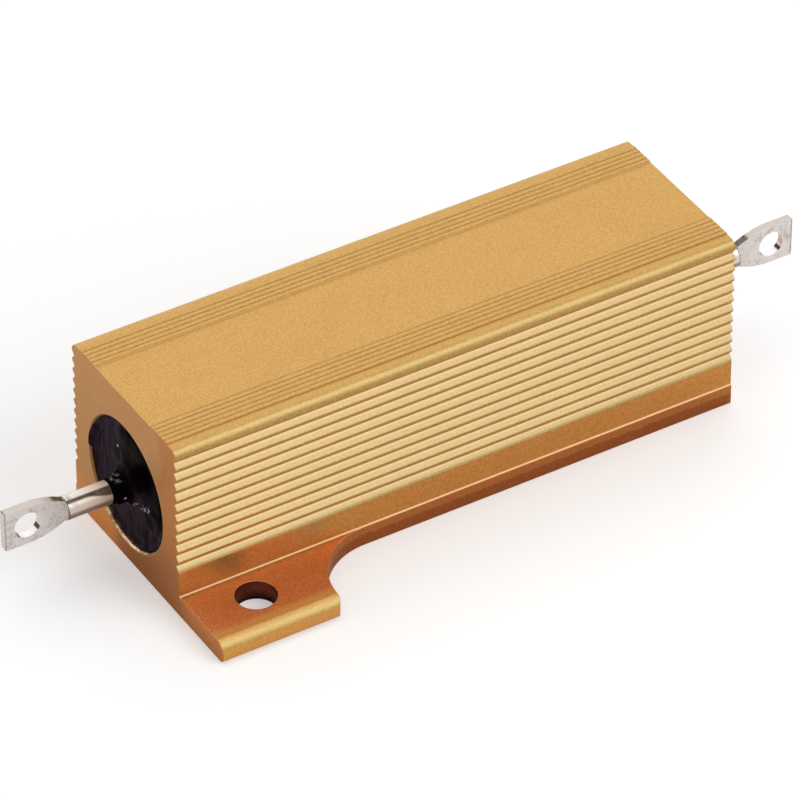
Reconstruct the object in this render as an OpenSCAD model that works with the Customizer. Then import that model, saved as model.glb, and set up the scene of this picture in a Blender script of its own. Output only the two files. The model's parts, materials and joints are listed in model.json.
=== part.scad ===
// Aluminium-housed axial power resistor with solder lugs, in millimetres.
// X runs along the leads, Z is up, and the origin is the middle of the mounting face.

/* [Resistance element] */
// Diameter of the ceramic core
core_d = 6.4; // [5.4:0.1:7.4]
// Chamfer at the ends of the core
core_chamfer = 0.3; // [0.1:0.05:0.6]
// Diameter of the resistance wire
wire_d = 1; // [0.6:0.05:1.3]
// Distance along the core from one turn to the next
wire_pitch = 3.2; // [2.4:0.1:5]
// Length of wire laid along each end cap
wire_tail = 1.8; // [1:0.1:2.4]
// Distance along the core over which the wire climbs onto a cap
wire_climb = 0.8; // [0.5:0.1:1.6]
// Wall of an end cap round the core
cap_wall = 0.4; // [0.25:0.05:0.7]
// Thickness of the closed end of a cap
cap_end_t = 0.5; // [0.3:0.05:1]
// Rounding round the closed end of a cap
cap_edge_r = 0.3; // [0.1:0.05:0.45]
// Length of core that each cap covers
cap_skirt = 4; // [3.4:0.1:6]

/* [Moulding] */
// Least wall of moulding between the winding and the housing
mould_wall = 0.81; // [0.4:0.01:1.4]
// Depth of moulding between its end face and the welded head of a lead
seal_depth = 4.6; // [3:0.1:7]
// How far the end face lies inside the end of the housing
face_recess = 0.3; // [0.1:0.05:1]
// Rounding at the rim of the end face
face_rim_r = 0.25; // [0.15:0.05:0.8]
// Length of the collar on a lead, from the end face
collar_l = 1.9; // [1:0.1:3]
// Wall of the collar round the lead
collar_wall = 0.22; // [0.15:0.01:0.5]
// Flare at the foot of the collar
collar_flare_r = 0.9; // [0.3:0.05:1.4]
// Length of the thin lip where the collar runs out on the lead
collar_lip = 0.5; // [0.2:0.05:0.8]

/* [Housing] */
// Length of the extrusion
body_l = 50; // [40:0.5:70]
// Wall below the bore
floor_t = 1.7; // [1.2:0.05:3]
// Wall above the bore, up to the print panel
roof_t = 3; // [2:0.05:5]
// Wall beside the bore, out to the rib crests
side_t = 2.4; // [1.6:0.05:4]
// Rounding along the top edges
top_edge_r = 0.75; // [0.3:0.05:1.2]
// Chamfer at each mouth of the bore
mouth_chamfer = 0.15; // [0.03:0.01:0.3]

/* [Side ribs] */
// Height from one rib to the next
rib_pitch = 1; // [0.8:0.05:1.6]
// Depth of the grooves between the ribs
groove_depth = 0.35; // [0.2:0.05:0.6]
// Flat left on the crest of a rib
rib_crest = 0.12; // [0.05:0.01:0.3]
// Plain wall above the highest groove
rib_top_land = 0.7; // [0.4:0.05:1.5]
// Plain wall below the lowest groove, down to the tabs
rib_foot_land = 2.35; // [1.5:0.05:4]

/* [Top ridges] */
// Width of each ridged band on top
band_w = 2.45; // [1:0.05:3]
// Width of one fine ridge
ridge_pitch = 0.49; // [0.35:0.01:0.9]
// Height of the fine ridges above the print panel
ridge_h = 0.1; // [0.05:0.01:0.2]
// Width of the slope on each side of a fine ridge
ridge_flank = 0.06; // [0.03:0.01:0.12]
// Flat strip between a band and the rounded top edge
edge_land = 0.5; // [0.2:0.05:1.2]

/* [Mounting tabs] */
// Thickness of the tabs
tab_t = 1.8; // [1.2:0.05:3]
// Distance from the end of the housing to a hole's centre
hole_inset = 5.15; // [4:0.05:9]
// Distance from the rib crests out to a hole's centre
hole_out = 2.75; // [2.5:0.05:5]
// Diameter of the mounting holes
hole_d = 3.3; // [2.5:0.1:4]
// Distance from a hole's centre to the outer edge of its tab
tab_edge = 3.9; // [2.8:0.05:5]
// Distance from a hole's centre to the inner end of its tab
tab_reach = 5.4; // [3:0.05:8]
// Radius of the cutter that leaves the inner end of a tab
cutter_r = 5.8; // [3:0.1:8]
// Rounding of the tab's corner, seen from above
tab_corner_r = 0.7; // [0.3:0.05:1.2]
// Rounding along the tab's upper edge
tab_top_r = 0.8; // [0.2:0.05:1.1]
// Rounding along the tab's lower edge
tab_foot_r = 0.55; // [0.2:0.05:0.8]
// Fillet between a tab and the side wall
foot_fillet = 0.12; // [0.05:0.01:0.5]
// How far the milled wall stands out from the rib crests
mill_proud = 0.1; // [0.05:0.01:0.14]

/* [Terminals] */
// Diameter of a lead
lead_d = 1.92; // [1.4:0.02:2.6]
// Length of round lead outside the housing
lead_out = 5.45; // [4:0.05:9]
// Diameter of the welded head inside
head_d = 3.4; // [2.8:0.1:5]
// Thickness of the welded head
head_t = 0.6; // [0.3:0.05:1.2]
// Thickness of a flattened lug
lug_t = 0.65; // [0.4:0.05:1.2]
// Width of a lug
lug_w = 3.6; // [3:0.05:5]
// Length of a lug at its full width
lug_l = 2; // [1.6:0.05:5]
// Length over which a lead widens into its lug
shoulder_l = 3.2; // [2:0.1:5]
// Length of the slope from the round lead to the flat of the lug
flatten_l = 0.1; // [0.1:0.05:1.5]
// How far before the lug's neck that slope starts
flatten_lead = 0.1; // [0.1:0.05:1.2]
// Diameter of the eye in a lug
eye_d = 2.2; // [1.4:0.1:2.6]
// Distance from the eye's centre to the end of the lug
eye_inset = 2; // [1.6:0.05:3]
// Rounding of the lug's outer corners
lug_corner_r = 0.2; // [0.1:0.05:0.8]

/* [Fits] */
// Gap between pieces that are pressed, welded or moulded together
seat_gap = 0.02; // [0.01:0.005:0.05]
// Gap between the wire and what it lies on
wire_gap = 0.05; // [0.04:0.01:0.1]

/* [Hidden] */

// Amount by which a cutting shape passes the face it cuts
past = 1;
// The same for the shallow side grooves
groove_past = 0.1;
// Length by which the pressed lead runs into the lug
lug_joint = 0.1;
// Largest share of the tab's thickness that its two roundings take
edge_share = 0.9;
// Smoothness of round shapes
round_fn = 96;

// Radii of the element, from the core out to the bore
core_r = core_d / 2;
cap_r = core_r + seat_gap + cap_wall;
wound_r = core_r + wire_d + 2 * wire_gap;
tail_r = cap_r + wire_d + 2 * wire_gap;
mould_r = tail_r + mould_wall;
bore_r = mould_r + seat_gap;
lead_r = lead_d / 2;
collar_r = lead_r + seat_gap + collar_wall;

// Body of the housing, sized round the bore
crest_y = bore_r + side_t;
panel_z = floor_t + 2 * bore_r + roof_t;
axis_z = floor_t + bore_r;
band_out_y = crest_y - top_edge_r - edge_land;
band_in_y = band_out_y - band_w;
ridge_count = max(1, round(band_w / ridge_pitch));
ridge_w = band_w / ridge_count;

// Side grooves, counted down from the top
groove_w = rib_pitch - rib_crest;
groove_top_z = panel_z - rib_top_land - groove_w / 2;
groove_low_z = tab_t + rib_foot_land + groove_w / 2;
groove_count = max(1, floor((groove_top_z - groove_low_z) / rib_pitch) + 1);

// Mounting tabs
hole_x = body_l / 2 - hole_inset;
hole_y = crest_y + hole_out;
tab_y = hole_y + tab_edge;
tab_end_x = hole_x - tab_reach;
mill_y = crest_y + mill_proud;
tab_depth = tab_y - mill_y;

// Places along X, measured out from the middle
face_x = body_l / 2 - face_recess;
head_out_x = face_x - seal_depth;
cap_out_x = head_out_x - head_t - seat_gap;
core_end_x = cap_out_x - cap_end_t - seat_gap;
cap_rim_x = core_end_x - cap_skirt;
wire_end_x = cap_rim_x + wire_tail;
climb_end_x = cap_rim_x - wire_d / 2 - wire_gap;
climb_start_x = climb_end_x - wire_climb;
collar_end_x = face_x + collar_l;
neck_x = body_l / 2 + lead_out;
lug_full_x = neck_x + shoulder_l;
lug_end_x = lug_full_x + lug_l;
eye_x = lug_end_x - eye_inset;

// Faces of the swept wire
wire_sides = 8;
turn_steps = 24;
wire_turns = 2 * wire_end_x / wire_pitch;
wire_steps = ceil(wire_turns * turn_steps);

// Draws its children on the axis of the leads, with Z of the children along X
module on_axis() {
    translate([0, 0, axis_z]) rotate([0, 90, 0]) children();
}

// Draws its children at both ends, by a half turn about Z
module both_ends() {
    for (turn = [0, 180]) rotate([0, 0, turn]) children();
}

// Draws a flat shape and its mirror image across X = 0
module both_sides() {
    children();
    mirror([1, 0]) children();
}

// Flat corner piece between a square corner at the origin and a fillet of radius r
module corner_piece(r) {
    difference() {
        square(r);
        translate([r, r]) circle(r, $fn = round_fn);
    }
}

// V groove cut into the side wall, seen from the end
module rib_groove() {
    mouth_y = crest_y + groove_past;
    mouth_w = groove_w * (groove_depth + groove_past) / groove_depth;
    polygon([[crest_y - groove_depth, 0], [mouth_y, mouth_w / 2], [mouth_y, -mouth_w / 2]]);
}

// Right half of the body's outline, seen from the end
module body_half() {
    difference() {
        square([crest_y, panel_z]);
        translate([crest_y, panel_z]) rotate(180) corner_piece(top_edge_r);
        for (i = [0 : groove_count - 1])
            translate([0, groove_top_z - i * rib_pitch]) rib_groove();
    }
}

// One band of fine ridges on top, rooted in the body below the print panel
module ridge_band() {
    for (i = [0 : ridge_count - 1])
        translate([band_in_y + i * ridge_w, panel_z])
            polygon([[0, -ridge_h], [ridge_w, -ridge_h], [ridge_w, 0], [ridge_w - ridge_flank, ridge_h],
                     [ridge_flank, ridge_h], [0, 0]]);
}

// Right half of the flange along the foot, with rounded edges and its fillet to the wall
module flange_half() {
    fit = min(1, edge_share * tab_t / (tab_top_r + tab_foot_r));
    difference() {
        square([tab_y, tab_t]);
        translate([tab_y, tab_t]) rotate(180) corner_piece(fit * tab_top_r);
        translate([tab_y, 0]) rotate(90) corner_piece(fit * tab_foot_r);
    }
    translate([crest_y, tab_t]) corner_piece(foot_fillet);
}

// Outline of the extrusion before the flange is milled back to the tabs
module extrusion_outline() {
    both_sides() {
        body_half();
        ridge_band();
        flange_half();
    }
}

// Plan of what the cutter takes from the flange on the +Y side, leaving the tab at +X
module milled_plan() {
    far_x = -body_l / 2 - past;
    far_y = tab_y + past;
    arc = [tab_end_x - cutter_r, mill_y + cutter_r];
    translate([far_x, mill_y]) square([arc[0] - far_x, far_y - mill_y]);
    translate(arc) circle(cutter_r, $fn = round_fn);
    if (tab_depth + past > cutter_r)
        translate([far_x, arc[1]]) square([tab_end_x - far_x, far_y - arc[1]]);
    // Where the cutter is too wide for a straight end, the corner lies on its arc
    rise = max(0, cutter_r - tab_depth);
    corner_x = arc[0] + sqrt(cutter_r * cutter_r - rise * rise);
    translate([corner_x, tab_y]) rotate(-90) corner_piece(tab_corner_r);
}

module housing() {
    color("goldenrod") difference() {
        rotate([90, 0, 90]) linear_extrude(body_l, center = true) extrusion_outline();
        on_axis() cylinder(r = bore_r, h = body_l + 2 * past, center = true, $fn = round_fn);
        both_ends() {
            on_axis() translate([0, 0, body_l / 2 - mouth_chamfer])
                cylinder(r1 = bore_r, r2 = bore_r + 2 * mouth_chamfer, h = 2 * mouth_chamfer, $fn = round_fn);
            translate([0, 0, -past]) linear_extrude(panel_z) milled_plan();
            translate([hole_x, hole_y, -past]) cylinder(d = hole_d, h = tab_t + 2 * past, $fn = round_fn);
        }
    }
}

// Outside of the moulding's +X half, as radius and distance from the middle
module moulding_outside() {
    difference() {
        square([mould_r, face_x]);
        translate([mould_r, face_x]) rotate(180) corner_piece(face_rim_r);
    }
    polygon([[0, 0], [collar_r, 0], [collar_r, collar_end_x - collar_lip],
             [lead_r + 2 * seat_gap, collar_end_x], [0, collar_end_x]]);
    translate([collar_r, face_x]) corner_piece(collar_flare_r);
}

// Outside of an end cap from the middle of the core, enlarged all round by grow
module cap_outline(grow) {
    difference() {
        square([cap_r + grow, cap_out_x + grow]);
        translate([cap_r + grow, cap_out_x + grow]) rotate(180) corner_piece(cap_edge_r);
    }
}

// Space that the element and a lead take inside the moulding's +X half
module moulding_cavity() {
    head_r = head_d / 2 + seat_gap;
    square([wound_r, climb_start_x]);
    square([tail_r, wire_end_x + wire_d]);
    cap_outline(seat_gap);
    square([head_r, head_out_x + seat_gap]);
    square([lead_r + seat_gap, collar_end_x + past]);
}

module moulding() {
    color("#1a171c") on_axis() rotate_extrude($fn = round_fn) difference() {
        union() {
            moulding_outside();
            mirror([0, 1]) moulding_outside();
        }
        moulding_cavity();
        mirror([0, 1]) moulding_cavity();
    }
}

module ceramic_core() {
    flat_r = core_r - core_chamfer;
    straight_x = core_end_x - core_chamfer;
    color("ivory") on_axis() rotate_extrude($fn = round_fn)
        polygon([[0, -core_end_x], [flat_r, -core_end_x], [core_r, -straight_x],
                 [core_r, straight_x], [flat_r, core_end_x], [0, core_end_x]]);
}

// Smooth step from 0 to 1
function ease(t) = let (k = min(1, max(0, t))) k * k * (3 - 2 * k);

// Distance from the axis to the middle of the wire: on the core, or raised onto a cap
function wire_seat(x) =
    wire_d / 2 + wire_gap + core_r + (cap_r - core_r) * ease((abs(x) - climb_start_x) / wire_climb);

// Middle of the wire at a share of its length, from one end to the other
function wire_point(share) = let (
    x = wire_end_x * (2 * share - 1),
    angle = 360 * wire_turns * share,
    r = wire_seat(x)
) [x, r * cos(angle), axis_z + r * sin(angle)];

function unit(v) = v / norm(v);

// Ring of points round the wire at a share of its length
function wire_ring(share) = let (
    nudge = 0.1 / wire_steps,
    along = unit(wire_point(share + nudge) - wire_point(share - nudge)),
    side = unit(cross(along, [1, 0, 0])),
    over = cross(along, side),
    middle = wire_point(share)
) [for (k = [0 : wire_sides - 1]) let (turn = 360 * k / wire_sides)
    middle + wire_d / 2 * (cos(turn) * side + sin(turn) * over)];

module resistance_winding() {
    rings = [for (i = [0 : wire_steps]) wire_ring(i / wire_steps)];
    points = [for (ring = rings) for (point = ring) point];
    last = wire_steps * wire_sides;
    walls = [for (i = [0 : wire_steps - 1]) for (k = [0 : wire_sides - 1])
        let (a = i * wire_sides + k, b = i * wire_sides + (k + 1) % wire_sides)
        each [[a, a + wire_sides, b], [b, a + wire_sides, b + wire_sides]]];
    near_end = [for (k = [0 : wire_sides - 1]) k];
    far_end = [for (k = [wire_sides - 1 : -1 : 0]) last + k];
    color("rosybrown") polyhedron(points, concat(walls, [near_end, far_end]));
}

// Cup on the +X end of the core
module end_cap() {
    on_axis() rotate_extrude($fn = round_fn) difference() {
        cap_outline(0);
        square([cap_r + past, cap_rim_x]);
        square([core_r + seat_gap, core_end_x + seat_gap]);
    }
}

module left_end_cap() {
    color("lightsteelblue") rotate([0, 0, 180]) end_cap();
}

module right_end_cap() {
    color("lightsteelblue") end_cap();
}

// Upper half of the lug's outline, from the neck to the end
module lug_half() {
    half_w = lug_w / 2;
    step = half_w - lead_r;
    bend_r = (shoulder_l * shoulder_l + step * step) / (2 * step);
    intersection() {
        translate([neck_x, 0]) square([shoulder_l, half_w]);
        translate([lug_full_x, half_w - bend_r]) circle(bend_r, $fn = 2 * round_fn);
    }
    difference() {
        translate([lug_full_x, 0]) square([lug_l, half_w]);
        translate([lug_end_x, half_w]) rotate(180) corner_piece(lug_corner_r);
    }
}

// Flat blade of the lug, standing upright in the XZ plane
module lug() {
    translate([0, 0, axis_z]) rotate([90, 0, 0]) linear_extrude(lug_t, center = true) difference() {
        union() {
            lug_half();
            mirror([0, 1]) lug_half();
        }
        translate([eye_x, 0]) circle(d = eye_d, $fn = round_fn);
    }
}

// Round lead whose outer end is pressed down to the thickness of the lug, and runs into it
module lead() {
    half_t = lug_t / 2;
    slope_x = neck_x - flatten_lead;
    flat_x = slope_x + flatten_l;
    root_x = cap_out_x + seat_gap;
    tip_x = max(flat_x, neck_x) + lug_joint;
    intersection() {
        on_axis() translate([0, 0, root_x]) cylinder(r = lead_r, h = tip_x - root_x, $fn = round_fn);
        linear_extrude(panel_z)
            polygon([[root_x, -lead_r], [slope_x, -lead_r], [flat_x, -half_t], [tip_x, -half_t],
                     [tip_x, half_t], [flat_x, half_t], [slope_x, lead_r], [root_x, lead_r]]);
    }
    on_axis() translate([0, 0, root_x]) cylinder(d = head_d, h = head_out_x - root_x, $fn = round_fn);
}

// Lead, welded head and lug in one piece, at the +X end
module terminal() {
    lead();
    lug();
}

module left_terminal() {
    color("silver") rotate([0, 0, 180]) terminal();
}

module right_terminal() {
    color("silver") terminal();
}

housing();
moulding();
ceramic_core();
resistance_winding();
left_end_cap();
right_end_cap();
left_terminal();
right_terminal();
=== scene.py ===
"""Looks of an aluminium-housed axial power resistor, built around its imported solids.

Shapes are worked out in millimetres, in the part's own frame, and scaled to metres when they are handed over.
"""

import json
import logging
import math
from collections.abc import Callable, Sequence
from dataclasses import dataclass, field
from enum import Enum
from functools import reduce
from typing import Any

import bmesh
import bpy
from mathutils import Matrix, Vector, noise


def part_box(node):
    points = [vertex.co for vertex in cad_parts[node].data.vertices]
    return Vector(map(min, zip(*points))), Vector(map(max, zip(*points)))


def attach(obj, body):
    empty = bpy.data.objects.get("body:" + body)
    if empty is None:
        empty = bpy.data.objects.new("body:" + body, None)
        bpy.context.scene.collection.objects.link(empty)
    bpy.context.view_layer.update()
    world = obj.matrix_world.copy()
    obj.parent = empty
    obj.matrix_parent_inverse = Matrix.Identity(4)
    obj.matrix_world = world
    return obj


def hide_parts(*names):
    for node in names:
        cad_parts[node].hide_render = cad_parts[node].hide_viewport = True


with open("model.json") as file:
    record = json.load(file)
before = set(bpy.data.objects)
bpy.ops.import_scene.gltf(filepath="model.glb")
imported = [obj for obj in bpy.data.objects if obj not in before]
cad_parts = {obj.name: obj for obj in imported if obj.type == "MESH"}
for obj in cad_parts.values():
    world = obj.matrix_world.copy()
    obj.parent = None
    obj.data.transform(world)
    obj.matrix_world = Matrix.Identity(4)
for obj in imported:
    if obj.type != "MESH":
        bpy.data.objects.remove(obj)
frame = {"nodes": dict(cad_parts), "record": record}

log = logging.getLogger("resistor")

MM = 0.001
IMAGE_PX = 800
BODY = "root"

Point = tuple[float, float]
Triple = tuple[float, float, float]
Colour = Triple
Ring = list[Vector]
Piece = bpy.types.Object
Material = bpy.types.Material


def box(node: str) -> list[Vector]:
    """Lowest and highest corner of a solid, in millimetres."""
    return [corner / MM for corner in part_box(node)]


@dataclass
class Layout:
    """Sizes in millimetres that several pieces and finishes share."""

    axis_z: float = 7.25
    bore_r: float = 5.55
    mouth_chamfer: float = 0.15
    crest_y: float = 7.95  # crests of the ribs and plain walls
    band_out_y: float = 6.7
    band_w: float = 2.45
    tab_t: float = 1.8
    hole_x: float = 19.85
    hole_y: float = 10.7
    hole_r: float = 1.65
    lead_r: float = 0.96
    head_out_x: float = 20.1
    cap_r: float = 3.62
    climb_x: float = 13.61  # where the wire starts to climb from the core to the caps
    neck_x: float = 30.45  # where the lug starts to widen
    seam_v: float = -1.27  # height over the axis of the seam that crosses the compound's end face
    seam_slope: float = 0.16
    half_l: float = field(init=False)
    collar_end_x: float = field(init=False)
    lug_end_x: float = field(init=False)
    eye_x: float = field(init=False)
    eye_r: float = field(init=False)
    eye_l: float = field(init=False)

    def __post_init__(self) -> None:
        """Takes the reach of the pieces from the solids, and the eye from its mount."""
        ends = [box(node)[1].x for node in ("housing", "moulding", "right_terminal")]
        self.half_l, self.collar_end_x, self.lug_end_x = ends
        eye = next(m for m in frame["record"]["mounts"] if m["name"] == "right_eye")
        self.eye_x = eye["pos_m"][0] / MM
        self.eye_r = eye["dims"]["r_mm"]
        self.eye_l = eye["dims"]["length_mm"]

    @property
    def band_in_y(self) -> float:
        """Inner edge of a band of fine ridges."""
        return self.band_out_y - self.band_w


SIZE = Layout()


class Axis(Enum):
    """Direction along which a flat outline is drawn out."""

    ALONG = 0
    ACROSS = 1
    UPRIGHT = 2

    def place(self, flat: Point, reach: float) -> Vector:
        """Puts a flat point, given in the order of the two other axes, at a distance along the axis."""
        return Vector((*flat[:self.value], reach, *flat[self.value:]))


class End(Enum):
    """The two ends of the resistor."""

    LEFT = "left"
    RIGHT = "right"

    @property
    def turn(self) -> Matrix:
        """Turn about Z that carries the right end to this end."""
        return Matrix.Rotation(math.pi if self is End.LEFT else 0.0, 4, "Z")


def operators(operation: str) -> tuple[Callable[..., "Signal"], Callable[..., "Signal"]]:
    """Makes an operator of a signal, and its reflected form, which add a Math node.

    Args:
        operation: the node's operation.

    Returns:
        The operator with the signal first, and the one with the signal second.
    """
    def plain(self: "Signal", other: "Number") -> "Signal":
        """Signal first."""
        return self.graph.math(operation, self, other)

    def reflected(self: "Signal", other: "Number") -> "Signal":
        """Signal second."""
        return self.graph.math(operation, other, self)

    return plain, reflected


class Signal:
    """Output socket of a node, with arithmetic that adds Math nodes to its tree."""

    def __init__(self, graph: "Graph", socket: bpy.types.NodeSocket) -> None:
        """Keeps the socket and the graph that it belongs to."""
        self.graph = graph
        self.socket = socket

    __add__, __radd__ = operators("ADD")
    __sub__, __rsub__ = operators("SUBTRACT")
    __mul__, __rmul__ = operators("MULTIPLY")
    __truediv__, __rtruediv__ = operators("DIVIDE")

    def __abs__(self) -> "Signal":
        """Size without its sign."""
        return self.graph.math("ABSOLUTE", self)


Number = Signal | float | int


class Graph:
    """A node tree under construction."""

    MIX_IN = (0, 6, 7)  # a Mix node's sockets for the share and two colours
    MIX_OUT = 2

    def __init__(self, tree: bpy.types.NodeTree) -> None:
        """Starts on a tree, which is emptied."""
        self.tree = tree
        tree.nodes.clear()

    @classmethod
    def of(cls, owner: Material | bpy.types.World) -> "Graph":
        """Starts on the tree of a material or of the surroundings."""
        owner.use_nodes = True
        return cls(owner.node_tree)

    def node(self, kind: str, settings: dict[str, Any] | None = None,
             sockets: dict[str | int, Any] | None = None, out: str | int | None = 0) -> Signal | None:
        """Adds a node.

        Args:
            kind: the node's type.
            settings: its properties, which are set first.
            sockets: values or links of its inputs, by name or number.
            out: the output that is wanted, or None for a node that ends the tree.

        Returns:
            That output.
        """
        made = self.tree.nodes.new(kind)
        for name, value in (settings or {}).items():
            setattr(made, name, value)
        for key, value in (sockets or {}).items():
            if isinstance(value, Signal):
                self.tree.links.new(value.socket, made.inputs[key])
            else:
                made.inputs[key].default_value = value
        return None if out is None else Signal(self, made.outputs[out])

    def math(self, operation: str, *terms: Number) -> Signal:
        """Adds a Math node for one operation on its terms."""
        return self.node("ShaderNodeMath", {"operation": operation}, dict(enumerate(terms)))

    def rise(self, value: Signal, low: float, high: float) -> Signal:
        """Smooth step of a value, 0 at low and 1 at high; it falls where high is the lower of the two."""
        return self.node("ShaderNodeMapRange", {"interpolation_type": "SMOOTHSTEP", "clamp": True},
                         {"Value": value, "From Min": low, "From Max": high})

    def step(self, value: Signal, middle: float, half: float) -> Signal:
        """Smooth step of a value about a middle, half its width on each side; a negative half falls."""
        return self.rise(value, middle - half, middle + half)

    def mix(self, share: Number, first: Signal | Colour, second: Signal | Colour) -> Signal:
        """Mixes two colours, with the given share of the second."""
        terms = (share, *(c if isinstance(c, Signal) else (*c, 1.0) for c in (first, second)))
        return self.node("ShaderNodeMix", {"data_type": "RGBA"}, dict(zip(self.MIX_IN, terms)), self.MIX_OUT)

    def most(self, *values: Signal) -> Signal:
        """Greatest of some values."""
        return reduce(lambda first, second: self.math("MAXIMUM", first, second), values)

    def stretch(self, place: Signal, factors: Sequence[float]) -> Signal:
        """Multiplies each coordinate of a place by its factor."""
        return self.node("ShaderNodeVectorMath", {"operation": "MULTIPLY"}, {0: place, 1: tuple(factors)})

    def split(self, vector: Signal) -> list[Signal]:
        """Takes a vector apart."""
        parts = self.node("ShaderNodeSeparateXYZ", None, {0: vector}).socket.node
        return [Signal(self, part) for part in parts.outputs]


class Surface(Graph):
    """A material's tree, with the place on the surface in millimetres and how far it faces up."""

    def __init__(self, tree: bpy.types.NodeTree) -> None:
        """Empties the tree and reads the place.

        Args:
            tree: the material's tree.
        """
        super().__init__(tree)
        self.whole = self.stretch(self.node("ShaderNodeTexCoord", out="Object"), [1 / MM] * 3)
        self.x, self.y, self.z = self.split(self.whole)
        self.up = self.split(self.node("ShaderNodeNewGeometry", out="Normal"))[2]

    def across(self) -> Signal:
        """Distance from the middle plane, to the right as either end is seen from outside."""
        return self.y * self.math("SIGN", self.x)

    def far(self, u: Signal, v: Signal, spot: Point = (0.0, 0.0)) -> Signal:
        """Distance of a flat place from a spot."""
        du, dv = u - spot[0], v - spot[1]
        return self.math("SQRT", du * du + dv * dv)

    def grain(self, scale: float, detail: float = 2.0, distortion: float = 0.0,
              factors: Triple | None = None) -> Signal:
        """Noise about 0.5 on the place.

        Args:
            scale: features per millimetre.
            detail: number of finer layers.
            distortion: how far the pattern is stirred.
            factors: how often it repeats along each axis, where that differs.

        Returns:
            The noise value.
        """
        place = self.stretch(self.whole, factors) if factors else self.whole
        return self.node("ShaderNodeTexNoise", None,
                         {"Vector": place, "Scale": scale, "Detail": detail, "Distortion": distortion}, "Fac")

    def bump(self, height: Signal, depth: float, strength: float) -> Signal:
        """Normal that follows a relief from 0 to 1, which is so many millimetres deep."""
        return self.node("ShaderNodeBump", None,
                         {"Height": height, "Distance": depth * MM, "Strength": strength}, "Normal")


@dataclass(frozen=True)
class Finish:
    """A surface finish, which its own recipe turns into a material."""

    name: str

    def paint(self, at: Surface) -> dict[str, Any]:
        """Works out what the finish feeds to the shader."""
        raise NotImplementedError

    def material(self) -> Material:
        """Makes the material.

        Returns:
            A node material with the finish's name.
        """
        made = bpy.data.materials.new(self.name)
        at = Surface.of(made)
        shader = at.node("ShaderNodeBsdfPrincipled", None, self.paint(at))
        at.node("ShaderNodeOutputMaterial", None, {"Surface": shader}, None)
        return made


class Zone(Enum):
    """Kinds of surface on the housing, each with the deep and the pale colour between which it varies."""

    SKIN = ((0.58, 0.325, 0.092), (0.74, 0.445, 0.145))  # all that no other kind covers
    RIBS = ((0.76, 0.545, 0.25), (0.86, 0.635, 0.305))  # upper slopes of the ribs, paler than the skin: painted highlight
    VALLEYS = ((0.90, 0.68, 0.38), (0.98, 0.75, 0.42))  # bottoms of the grooves between the ribs, paler still: painted highlight
    EDGES = ((0.80, 0.43, 0.115), (0.95, 0.53, 0.155))  # outer edges and outer faces of the tabs, paler than their tops: painted highlight
    BROWS = ((0.61, 0.42, 0.15), (0.75, 0.52, 0.21))  # rounded edges of the top and of the tabs, in a paler, less saturated gold: painted highlight
    LINES = ((0.46, 0.235, 0.055), (0.56, 0.29, 0.075))  # corners along the bands of fine ridges, darker: painted shade
    TABS = ((0.73, 0.275, 0.11), (0.95, 0.405, 0.185))  # tops of the tabs, orange: painted reflection of the gold wall beside them
    RIMS = ((0.90, 0.54, 0.18), (1.0, 0.65, 0.25))  # outer borders of the tops of the tabs, paler: painted highlight
    FEET = ((0.44, 0.21, 0.105), (0.58, 0.31, 0.175))  # strips of the tabs beside the wall, darker: painted shade
    WALLS = ((0.66, 0.315, 0.08), (0.845, 0.43, 0.125))  # plain walls below the ribs, redder than the skin: painted reflection tone
    TAB_WALLS = ((0.52, 0.31, 0.11), (0.665, 0.425, 0.175))  # plain walls above the tabs, bluer than the skin to tone down the orange tabs they mirror: painted reflection tone
    FILLETS = ((0.93, 0.60, 0.31), (0.98, 0.66, 0.35))  # corners between the tabs and the wall, pale: painted highlight
    CUT = ((0.54, 0.215, 0.062), (0.645, 0.26, 0.08))  # milled walls
    CUT_LOW = ((0.39, 0.13, 0.038), (0.48, 0.165, 0.055))  # lower halves of the milled walls, darker towards the bottom
    BORED = ((0.04, 0.012, 0.008), (0.33, 0.085, 0.05))  # walls of the mounting holes, dark red and darker towards the bottom: painted reflection and painted shade
    SCUFFS = ((0.95, 0.72, 0.42), (0.95, 0.72, 0.42))  # rubbed specks at the ends of the tabs
    ENDS = ((0.62, 0.335, 0.125), (0.79, 0.44, 0.185))  # sawn end faces
    MOUTHS = ((0.32, 0.18, 0.08), (0.80, 0.60, 0.38))  # chamfered mouths of the bore, dark brown with pale specks on the lower part: painted shade and painted highlight


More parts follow.
